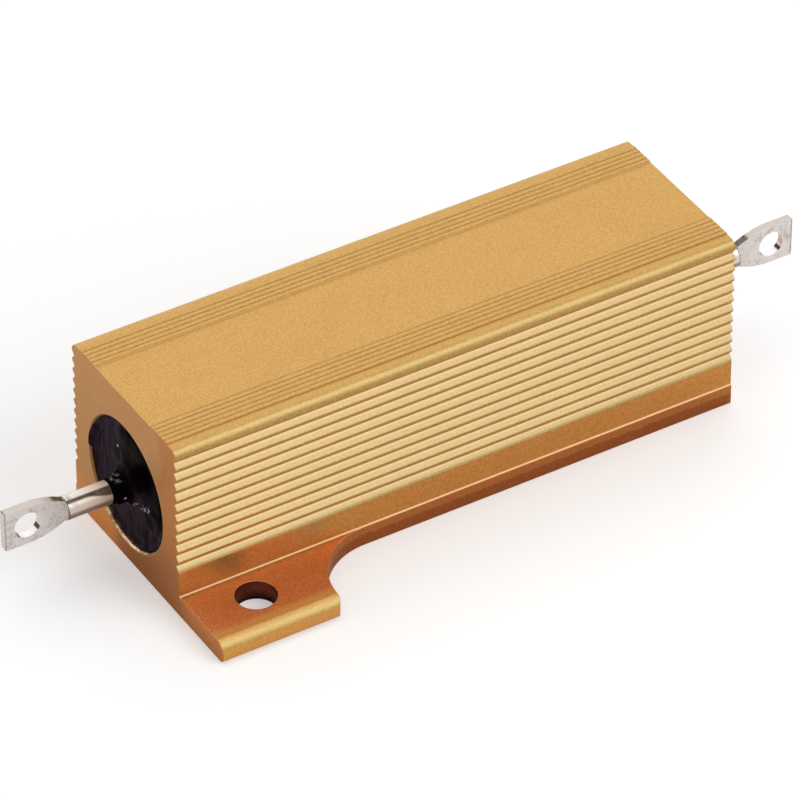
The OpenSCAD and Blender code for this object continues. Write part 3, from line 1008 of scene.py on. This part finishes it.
@dataclass
class Housing(Assembly):
    """Finned extrusion with its bore and two milled mounting tabs."""

    name: str = "finned_housing"
    node: str = "housing"
    slot: str = "gold_anodised"
    top_edge_r: float = 0.75
    rib_pitch: float = 1.0
    rib_count: int = 11
    rib_crest: float = 0.12
    groove_depth: float = 0.35
    rib_top_land: float = 0.7
    rib_foot_z: float = 4.22
    ridge_h: float = 0.1
    ridge_count: int = 5
    ridge_flank: float = 0.06
    scribe_depth: float = 0.05
    scribe_gap: float = 0.09
    tab_top_r: float = 1.0
    tab_foot_r: float = 0.55
    foot_fillet: float = 0.12
    tab_reach: float = 5.4
    tab_corner_r: float = 0.7
    cutter_r: float = 5.8
    mill_proud: float = 0.1
    edge_break: float = 0.045
    foot_break: float = 0.18
    break_angle: float = 28.0
    break_segments: int = 3
    bore_steps: int = 160
    hole_steps: int = 72
    mill_steps: int = 48
    corner_steps: int = 12
    past: float = 1.0
    tab_y: float = field(init=False)
    panel_z: float = field(init=False)

    def __post_init__(self) -> None:
        """Takes the width and the height from the solid."""
        high = box(self.node)[1]
        self.tab_y = high.y
        self.panel_z = high.z - self.ridge_h

    def outline(self) -> list[Point]:
        """Outline of the extrusion, seen from the end, without its grooves.

        Returns:
            Corners as Y and Z, round the whole section.
        """
        top = self.panel_z
        edge_y, edge_z = SIZE.crest_y - self.top_edge_r, top - self.top_edge_r
        foot_y, foot_z = SIZE.crest_y + self.foot_fillet, SIZE.tab_t + self.foot_fillet
        half = [
            *arc((self.tab_y - self.tab_foot_r, self.tab_foot_r), self.tab_foot_r, -90, 0),
            *arc((self.tab_y - self.tab_top_r, SIZE.tab_t - self.tab_top_r), self.tab_top_r, 0, 90),
            *arc((foot_y, foot_z), self.foot_fillet, 270, 180),
            *arc((edge_y, edge_z), self.top_edge_r, 0, 90),
            (SIZE.band_out_y, top),
            (SIZE.band_out_y - self.ridge_flank, top + self.ridge_h),
            (SIZE.band_in_y + self.ridge_flank, top + self.ridge_h),
            (SIZE.band_in_y, top),
        ]
        return half + [(-y, z) for y, z in reversed(half)]

    def mill_plan(self) -> list[Point]:
        """What the cutter takes from the flange on the +Y side, seen from above.

        Returns:
            Corners as X and Y.
        """
        end_x = SIZE.hole_x - self.tab_reach
        mill_y = SIZE.crest_y + self.mill_proud
        far_x, far_y = -SIZE.half_l - self.past, self.tab_y + self.past
        corner = (end_x + self.tab_corner_r, self.tab_y - self.tab_corner_r)
        return [
            (far_x, mill_y),
            *arc((end_x - self.cutter_r, mill_y + self.cutter_r), self.cutter_r, -90, 0, self.mill_steps),
            *arc(corner, self.tab_corner_r, 180, 90, self.corner_steps),
            (corner[0], far_y),
            (far_x, far_y),
        ]

    def cutters(self) -> Solid:
        """Everything that is drilled, bored or milled out, as separate volumes.

        Returns:
            The volumes in one solid.
        """
        mouth = SIZE.bore_r + SIZE.mouth_chamfer
        reach = SIZE.half_l + self.past
        flank = [(SIZE.half_l - SIZE.mouth_chamfer, SIZE.bore_r), (reach, mouth + self.past)]
        profile = [(-x, r) for x, r in reversed(flank)] + flank
        made = Solid().loft(turned_rings(profile, self.bore_steps))
        hole = arc((SIZE.hole_x, SIZE.hole_y), SIZE.hole_r, 0, 360, self.hole_steps)[:-1]
        clear_z = SIZE.tab_t + self.foot_fillet + self.past
        for sign in (1, -1):
            for plan in (hole, self.mill_plan()):
                made.prism([(sign * x, sign * y) for x, y in plan], Axis.UPRIGHT, -self.past, clear_z)
        return made

    def groove_rows(self) -> list[dict[str, Any]]:
        """Rows of V grooves on both sides: ribs of the wall, fine ridges of the band and a line beside it.

        Returns:
            The inputs of the groove recipe for each row.
        """
        width = self.rib_pitch - self.rib_crest
        first_z = self.panel_z - self.rib_top_land - width / 2
        ridge_w = SIZE.band_w / self.ridge_count
        shared = {"Length": 2 * (SIZE.half_l + self.past), "Finish": self.material}
        rows = []
        for side in (1, -1):
            ribs = {"Start": (0, side * SIZE.crest_y, first_z), "Step": (0, 0, -self.rib_pitch),
                    "Count": self.rib_count, "Width": width, "Depth": self.groove_depth,
                    "Roll": -side * math.pi / 2}
            ridges = {"Start": (0, side * (SIZE.band_out_y - ridge_w), self.panel_z + self.ridge_h),
                      "Step": (0, -side * ridge_w, 0), "Count": self.ridge_count - 1,
                      "Width": 2 * self.ridge_flank, "Depth": self.ridge_h, "Roll": 0.0}
            scribe = {**ridges, "Start": (0, side * (SIZE.band_in_y - self.scribe_gap), self.panel_z),
                      "Count": 1, "Depth": self.scribe_depth}
            rows += [{**shared, **row} for row in (ribs, ridges, scribe)]
        return rows

    def break_share(self, middle: Vector) -> float:
        """How far an edge is broken: most below the lowest rib, not at all on the fine ridges.

        Args:
            middle: middle of the edge.

        Returns:
            Share of the widest break.
        """
        slack = self.ridge_flank
        along = abs(middle.x) < SIZE.half_l - self.past
        on_top = middle.z > self.panel_z - self.ridge_h and abs(middle.y) < SIZE.band_out_y + slack
        on_crest = abs(abs(middle.y) - SIZE.crest_y) < slack
        if along and on_top:
            return 0.0
        if along and on_crest and abs(middle.z - self.rib_foot_z) < slack:
            return 1.0
        return self.edge_break / self.foot_break

    def build(self) -> Piece:
        """Makes the mesh: the plain section drawn out, then cut, grooved and eased.

        Returns:
            The housing, in millimetres.
        """
        piece = Solid().prism(self.outline(), Axis.ALONG, -SIZE.half_l, SIZE.half_l).piece(self.name)
        carve(piece, self.cutters().piece("housing_cutters"))
        recipe = GrooveRow()
        for row in self.groove_rows():
            recipe.use(piece, row)
        settle(piece)
        soften(piece, self.foot_break, self.break_angle, self.break_segments, self.break_share)
        return piece


@dataclass
class Moulding(Assembly):
    """Black compound round the element, with its uneven end faces and the collars on the leads."""

    name: str = "sealing_compound"
    node: str = "moulding"
    slot: str = "black_compound"
    face_x: float = 24.7
    rim_r: float = 0.25
    flare_r: float = 0.9
    collar_r: float = 1.2
    collar_lip: float = 0.5
    seat_gap: float = 0.02
    head_r: float = 1.7
    cap_out_x: float = 19.48
    tail_r: float = 4.72
    tail_end_x: float = 17.76
    wound_r: float = 4.3
    dish: float = 0.16
    trough_r: float = 4.88
    trough_w: float = 0.24
    trough_depth: float = 0.10
    mound: float = 0.22
    mound_w: float = 0.75
    seam: float = 0.13
    seam_w: float = 0.2
    seam_start: float = 0.8
    seam_wave: float = 0.35
    lump: float = 0.09
    collar_lump: float = 0.06
    wrinkle: float = 0.014
    fade_w: float = 0.3
    flash_turn: float = math.radians(2)
    flash_above: float = math.radians(64)
    flash_below: float = math.radians(7)
    flash_reach: float = 0.06
    flash_t: float = 0.07
    flash_fill: float = 1.15
    flash_ease: float = 4.0
    steps: int = 224
    rim_steps: int = 16
    face_rings: int = 44
    flare_steps: int = 14
    collar_rings: int = 5
    mould_r: float = field(init=False)

    def __post_init__(self) -> None:
        """Takes the thickness from the solid."""
        low, high = box(self.node)
        self.mould_r = (high.y - low.y) / 2

    def half_profile(self) -> list[Point]:
        """Profile of the +X half, from the middle of the outside to the middle of the cavity.

        Returns:
            Points as distance along X and radius.
        """
        rim_in = self.mould_r - self.rim_r
        flare_out = self.collar_r + self.flare_r
        face_step = (rim_in - flare_out) / self.face_rings
        start = self.face_x + self.flare_r
        collar_step = (SIZE.collar_end_x - self.collar_lip - start) / self.collar_rings
        lead, head, cap = (r + self.seat_gap for r in (SIZE.lead_r, self.head_r, SIZE.cap_r))
        head_x, cap_x = (x + self.seat_gap for x in (SIZE.head_out_x, self.cap_out_x))
        return [
            (0.0, self.mould_r),
            *arc((self.face_x - self.rim_r, rim_in), self.rim_r, 90, 0, self.rim_steps),
            *((self.face_x, rim_in - face_step * i) for i in range(1, self.face_rings)),
            *arc((start, flare_out), self.flare_r, 180, 270, self.flare_steps),
            *((start + collar_step * i, self.collar_r) for i in range(1, self.collar_rings + 1)),
            (SIZE.collar_end_x, lead + self.seat_gap),
            (SIZE.collar_end_x, lead),
            (head_x, lead),
            (head_x, head),
            (cap_x, head),
            (cap_x, cap),
            (self.tail_end_x, cap),
            (self.tail_end_x, self.tail_r),
            (SIZE.climb_x, self.tail_r),
            (SIZE.climb_x, self.wound_r),
            (0.0, self.wound_r),
        ]

    def relief(self, spot: Vector) -> float:
        """How far the compound stands out at a spot of its end face.

        Args:
            spot: a point of the smooth face.

        Returns:
            Distance outwards along X, in millimetres.
        """
        side = math.copysign(1.0, spot.x)
        u, v = side * spot.y, spot.z - SIZE.axis_z
        r = math.hypot(u, v)
        flat = Vector((u, v, 2 * side))
        fade = ease((self.mould_r - r) / self.fade_w) * ease((r - self.collar_r) / self.fade_w)
        hollow = -self.dish * (1 - (r / self.mould_r) ** 2)
        trough = -self.trough_depth * bell((r - self.trough_r) / self.trough_w)
        mound = self.mound * bell((r - self.collar_r) / self.mound_w) * (1 + noise.noise(flat * 1.3))
        off_seam = v - SIZE.seam_v - SIZE.seam_slope * u + self.seam_wave * noise.noise(flat * 1.2)
        seam = self.seam * bell(off_seam / self.seam_w) * ease(u / self.seam_start)
        swell = self.lump * (noise.noise(flat * 0.5) + 0.4 * noise.noise(flat * 1.2))
        wrinkle = self.wrinkle * noise.noise(Vector((u * 2.6, v * 1.4, side)))
        return trough + fade * (hollow + mound + seam + swell + wrinkle)

    def uneven(self, spot: Vector) -> Vector:
        """Moves a spot of the smooth face or collar to where the poured compound lies.

        Args:
            spot: the smooth spot.

        Returns:
            The moved spot.
        """
        away = Vector((0.0, spot.y, spot.z - SIZE.axis_z))
        collar = ease((self.collar_r + self.flare_r - away.length) / self.flare_r)
        swell = self.collar_lump * collar * noise.noise(spot * 1.1)
        outwards = Vector((math.copysign(1.0, spot.x), 0.0, 0.0))
        return spot + away.normalized() * swell + outwards * self.relief(spot)

    def spill(self, amount: float, share: float) -> Point:
        """Place on the rim where the compound runs over the mouth of the bore and on to the end face.

        Args:
            amount: how far it has run, from 0 to 1.
            share: place across the rim, from 0 at the bore to 1 at the face.

        Returns:
            Distance along X and radius.
        """
        wall_x = SIZE.half_l - SIZE.mouth_chamfer
        lip = (SIZE.half_l + self.seat_gap / 2, self.mould_r + SIZE.mouth_chamfer + self.seat_gap)
        path = [(self.face_x - self.rim_r, self.mould_r), (wall_x, self.mould_r), lip,
                (lip[0], lip[1] + self.flash_reach)]
        legs = [math.dist(p, q) for p, q in zip(path, path[1:])]
        left = amount * sum(legs) * min(1.0, 2 * share)
        spot = Vector(path[-1])
        for leg, p, q in zip(legs, path, path[1:]):
            if left <= leg:
                spot = Vector(p).lerp(Vector(q), left / leg)
                break
            left -= leg
        back = max(0.0, 2 * share - 1)
        inner = Vector((self.face_x + (wall_x - self.face_x) * amount, self.mould_r - self.rim_r))
        swell = Vector((self.flash_t * amount * math.sin(math.pi * back), 0.0))
        return tuple(spot.lerp(inner, back) + swell)

    def flash(self, ring: Ring, share: float) -> Ring:
        """Runs one ring of the left rim over the mouth of the bore, on one side.

        Args:
            ring: the plain ring.
            share: its place across the rim, from 0 to 1.

        Returns:
            The changed ring.
        """
        made = []
        for spot in ring:
            turn = math.atan2(spot.z - SIZE.axis_z, spot.y)
            off = turn - self.flash_turn
            span = self.flash_above if off > 0 else self.flash_below
            amount = min(1.0, max(0.0, self.flash_fill * (1 - abs(off) / span)))
            x, r = self.spill(amount, share)
            run = Vector((-x, r * math.cos(turn), SIZE.axis_z + r * math.sin(turn)))
            made.append(spot.lerp(run, ease(self.flash_ease * amount)))
        return made

    def build(self) -> Piece:
        """Makes the mesh: the profile turned round the leads, its end faces and collars uneven.

        Returns:
            The moulding, in millimetres.
        """
        half = self.half_profile()
        profile = half + [(-x, r) for x, r in reversed(half[1:-1])]
        rings = turned_rings(profile, self.steps)
        for i in range(1, self.rim_steps + 2):
            rings[-i] = self.flash(rings[-i], (i - 1) / self.rim_steps)
        bare_x = self.face_x - self.rim_r
        bare_r = SIZE.lead_r + 2.5 * self.seat_gap  # past the last ring that seats on the lead
        for ring, (x, r) in zip(rings, profile):
            if abs(x) > bare_x and r > bare_r:
                ring[:] = [self.uneven(spot) for spot in ring]
        piece = Solid().loft(rings, closed=True).piece(self.name)
        piece.data.shade_smooth()
        return piece


@dataclass
class Winding(Assembly):
    """Resistance wire, wound on the core from one end cap to the other."""

    name: str = "wound_wire"
    node: str = "resistance_winding"
    slot: str = "resistance_wire"
    wire_d: float = 1.0
    wire_gap: float = 0.05
    wire_pitch: float = 3.2
    wire_end_x: float = 16.76
    core_r: float = 3.2
    climb_l: float = 0.8
    rings_per_turn: int = 48
    sides: int = 14

    def build(self) -> Piece:
        """Makes the mesh by the sweeping recipe.

        Returns:
            The winding, in millimetres.
        """
        piece = add(self.name, bpy.data.meshes.new(self.name))
        turns = 2 * self.wire_end_x / self.wire_pitch
        WireSweep().use(piece, {
            "Reach": self.wire_end_x, "Turns": turns, "Seat": self.core_r + self.wire_gap + self.wire_d / 2,
            "Climb": SIZE.cap_r - self.core_r, "Climb Start": SIZE.climb_x,
            "Climb Length": self.climb_l, "Axis Height": SIZE.axis_z, "Radius": self.wire_d / 2,
            "Rings": math.ceil(turns * self.rings_per_turn), "Sides": self.sides, "Finish": self.material})
        settle(piece)
        return piece


@dataclass
class Terminal(Assembly):
    """Round lead with a welded head inside and a flattened, pierced lug outside."""

    name: str = field(init=False)
    node: str = field(init=False)
    slot: str = "tinned_copper"
    end: End = End.RIGHT
    shoulder_l: float = 3.2
    slope_x: float = 30.35
    flatten_l: float = 0.1
    lug_corner_r: float = 0.2
    edge_r: float = 0.06
    rim_break: float = 0.04
    break_angle: float = 50.0
    break_segments: int = 3
    corner_steps: int = 12
    press_steps: int = 12
    shoulder_steps: int = 10
    tip_steps: int = 10
    eye_steps: int = 64
    root_x: float = field(init=False)
    half_w: float = field(init=False)
    head_r: float = field(init=False)

    def __post_init__(self) -> None:
        """Takes its names from its end, and the overall sizes from the right-hand solid."""
        self.name = f"{self.end.value}_solder_lug"
        self.node = f"{self.end.value}_terminal"
        low, high = box("right_terminal")
        self.root_x = low.x
        self.half_w = (high.z - low.z) / 2
        self.head_r = high.y

    @staticmethod
    def rounded_end(half: float, radius: float, left: float) -> float:
        """Half size at a distance left to a rounded end, of what has a given half size before it."""
        short = max(0.0, radius - left)
        return half - radius + math.sqrt(max(0.0, radius * radius - short * short))

    def width(self, x: float) -> float:
        """Half width of the lead or lug.

        Args:
            x: distance along X.

        Returns:
            The half width there.
        """
        step = self.half_w - SIZE.lead_r
        bend = (self.shoulder_l ** 2 + step ** 2) / (2 * step)
        short = min(self.shoulder_l, max(0.0, SIZE.neck_x + self.shoulder_l - x))
        wide = self.half_w - bend + math.sqrt(bend * bend - short * short)
        return self.rounded_end(wide, self.lug_corner_r, SIZE.lug_end_x - x)

    def section(self, x: float, half_t: float, half_w: float, r: float) -> Ring:
        """Section of the lead or lug.

        Args:
            x: distance along X.
            half_t: half its thickness.
            half_w: half its width.
            r: radius of its corners.

        Returns:
            Points of a rounded rectangle, a circle where all three sizes are the same.
        """
        points = []
        for k, (right, up) in enumerate(((1, 1), (-1, 1), (-1, -1), (1, -1))):
            centre = (right * (half_t - r), SIZE.axis_z + up * (half_w - r))
            points += arc(centre, r, 90 * k, 90 * (k + 1), self.corner_steps)
        return [Vector((x, y, z)) for y, z in points]

    def ring(self, x: float) -> Ring:
        """Section at a place along the outer lead and lug.

        Args:
            x: distance along X.

        Returns:
            Its points.
        """
        pressed = ease((x - self.slope_x) / self.flatten_l)
        thick = SIZE.lead_r + (SIZE.eye_l / 2 - SIZE.lead_r) * pressed
        if x > SIZE.neck_x + self.shoulder_l:
            thick = self.rounded_end(thick, self.edge_r, SIZE.lug_end_x - x)
        r = min(thick, SIZE.lead_r + (self.edge_r - SIZE.lead_r) * pressed)
        return self.section(x, thick, self.width(x), r)

    def stations(self) -> list[float]:
        """Places along the outer lead and lug at which a section is taken, closest where it changes.

        Returns:
            Distances along X.
        """
        flat_x = self.slope_x + self.flatten_l
        shoulder = SIZE.neck_x + self.shoulder_l - flat_x
        turn_x = SIZE.lug_end_x - self.lug_corner_r
        quarter = math.pi / 2 / self.tip_steps
        return [
            *(self.slope_x + self.flatten_l * i / self.press_steps for i in range(self.press_steps + 1)),
            *(flat_x + shoulder * i / self.shoulder_steps for i in range(1, self.shoulder_steps + 1)),
            *(turn_x + self.lug_corner_r * math.sin(quarter * i) for i in range(self.tip_steps + 1)),
        ]

    def build(self) -> Piece:
        """Makes the mesh: head, lead and lug lofted in one, with the eye pierced through.

        Returns:
            The terminal at its own end, in millimetres.
        """
        steps = ((self.root_x, self.head_r), (SIZE.head_out_x, self.head_r), (SIZE.head_out_x, SIZE.lead_r))
        rings = [self.section(x, r, r, r) for x, r in steps] + [self.ring(x) for x in self.stations()]
        piece = Solid().loft(rings).piece(self.name)
        eye = arc((SIZE.eye_x, SIZE.axis_z), SIZE.eye_r, 0, 360, self.eye_steps)[:-1]
        carve(piece, Solid().prism(eye, Axis.ACROSS, -SIZE.lead_r, SIZE.lead_r).piece("eye_cutter"))
        soften(piece, self.rim_break, self.break_angle, self.break_segments)
        piece.data.transform(self.end.turn)
        return piece


@dataclass(frozen=True)
class Lamp:
    """Square soft light that faces the object: where it lies, how far, its side in metres and its watts."""

    name: str
    towards: Triple
    far: float
    side: float
    power: float


@dataclass
class Studio:
    """White floor, soft light and the camera that sees the resistor from above its left front."""

    azimuth: float = -31.271
    elevation: float = 38.635
    distance: float = 538.6
    aim: Triple = (0.86, 2.413, 3.139)
    focal_px: float = 6898.7
    floor_half: float = 3000.0
    floor_z: float = -0.02
    paper: Colour = (0.70, 0.70, 0.70)
    paper_glow: float = 0.36
    mirrored_paper: Colour = (0.75, 0.68, 0.63)
    ambient: float = 0.45
    mirrored_level: float = 1.38
    front_lift: float = 0.3
    horizon_dip: float = 0.6
    gap_y: float = 0.05
    gap_half: float = 0.13
    gap_depth: float = 0.9
    lamps: tuple[Lamp, ...] = (
        Lamp("key", towards=(0.45, -0.68, 0.62), far=0.7, side=0.55, power=2.6),
        Lamp("top", towards=(0.1, 0.35, 1.0), far=0.8, side=0.8, power=3.0),
    )

    @staticmethod
    def hang(name: str, data: bpy.types.ID, place: Vector, way: Vector) -> Piece:
        """Hangs a camera or a light.

        Args:
            name: its name.
            data: its lens or light.
            place: where it hangs.
            way: direction in which it looks.

        Returns:
            The object.
        """
        made = add(name, data)
        made.location = place
        made.rotation_mode = "QUATERNION"
        made.rotation_quaternion = way.to_track_quat("-Z", "Y")
        return made

    def camera(self) -> None:
        """Makes the camera and gives it to the scene."""
        a, e = math.radians(self.azimuth), math.radians(self.elevation)
        back = Vector((math.sin(a) * math.cos(e), -math.cos(a) * math.cos(e), math.sin(e)))
        lens = bpy.data.cameras.new("camera")
        lens.lens = self.focal_px / IMAGE_PX * lens.sensor_width
        place = (Vector(self.aim) + back * self.distance) * MM
        bpy.context.scene.camera = self.hang("camera", lens, place, -back)

    def light(self, lamp: Lamp) -> None:
        """Hangs a lamp; mirrors see the surroundings instead of it.

        Args:
            lamp: the lamp.
        """
        light = bpy.data.lights.new(lamp.name, "AREA")
        light.size = lamp.side
        light.energy = lamp.power
        way = Vector(lamp.towards).normalized()
        self.hang(lamp.name, light, way * lamp.far, -way).visible_glossy = False

    @staticmethod
    def ray(graph: Graph, *kinds: str) -> Signal:
        """1 for rays of the named kinds, which are outputs of the Light Path node, and 0 for all others."""
        path = graph.node("ShaderNodeLightPath").socket.node
        return graph.most(*(Signal(graph, path.outputs[kind]) for kind in kinds))

    def floor(self) -> None:
        """Lays the floor, which takes the shadow and is mirrored darker than it looks."""
        half, z = self.floor_half * MM, self.floor_z * MM
        mesh = bpy.data.meshes.new("floor")
        mesh.from_pydata([(-half, -half, z), (half, -half, z), (half, half, z), (-half, half, z)], [],
                         [(0, 1, 2, 3)])
        paper = bpy.data.materials.new("paper")
        graph = Graph.of(paper)
        shade = graph.mix(self.ray(graph, "Is Glossy Ray"), self.paper, self.mirrored_paper)
        matt = graph.node("ShaderNodeBsdfDiffuse", None, {"Color": shade})
        direct = self.ray(graph, "Is Camera Ray", "Is Transmission Ray")
        glow = graph.node("ShaderNodeEmission", None, {"Strength": direct * self.paper_glow})
        both = graph.node("ShaderNodeAddShader", None, {0: matt, 1: glow})
        graph.node("ShaderNodeOutputMaterial", None, {"Surface": both}, None)
        mesh.materials.append(paper)
        plane = add("floor", mesh)

    def world(self) -> None:
        """Sets the white surroundings; mirrors see them bright high and dim low in front, with a dark gap."""
        sky = bpy.data.worlds.new("studio")
        graph = Graph.of(sky)
        _, across, height = graph.split(graph.node("ShaderNodeTexCoord", out="Generated"))
        front = graph.rise(across, 0.1, -0.2)
        lift = self.front_lift * graph.rise(height, 0.4, 0.8)
        dip = self.horizon_dip * graph.rise(height, 0.55, 0.15)
        gap = graph.rise(abs(across - self.gap_y), self.gap_half, self.gap_half / 2)
        lit = self.mirrored_level * (1 + front * (lift - dip)) * (1 - self.gap_depth * gap)
        direct = self.ray(graph, "Is Camera Ray", "Is Transmission Ray")
        mirrored = self.ray(graph, "Is Glossy Ray")
        stray = self.ambient * (1 - graph.most(direct, mirrored))
        light = graph.node("ShaderNodeBackground", None, {"Strength": direct + mirrored * lit + stray})
        graph.node("ShaderNodeOutputWorld", None, {"Surface": light}, None)
        bpy.context.scene.world = sky

    def build(self) -> None:
        """Sets up the view, the surroundings, the floor and the lights."""
        bpy.context.scene.view_settings.view_transform = "Standard"
        self.camera()
        self.world()
        self.floor()
        for lamp in self.lamps:
            self.light(lamp)


def dress_inner(materials: dict[str, Material]) -> None:
    """Gives the hidden solids their finishes.

    Args:
        materials: the finish of each node, by its name.
    """
    for name, material in materials.items():
        mesh = frame["nodes"][name].data
        mesh.materials.clear()
        mesh.materials.append(material)
        log.info("%s: dressed as %s", name, material.name)


def main() -> None:
    """Builds the studio and every piece in order."""
    logging.basicConfig(level=logging.INFO, format="%(message)s")
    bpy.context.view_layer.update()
    Studio().build()

    tin = Tinned().material()
    cap = DrawnMetal("cap_steel", light=(0.62, 0.61, 0.60), dark=(0.50, 0.49, 0.48), marks=(5.0, 0.8, 0.8),
                     rough=0.3).material()
    assemblies = [
        Housing(GoldAnodised().material()),
        Moulding(BlackCompound().material()),
        Winding(DrawnMetal("resistance_wire").material()),
        Terminal(tin, end=End.LEFT),
        Terminal(tin, end=End.RIGHT),
    ]
    for assembly in assemblies:
        assembly.dress(assembly.build())
    dress_inner({"ceramic_core": Steatite().material(), "left_end_cap": cap, "right_end_cap": cap})


if __name__ == "__main__":
    main()
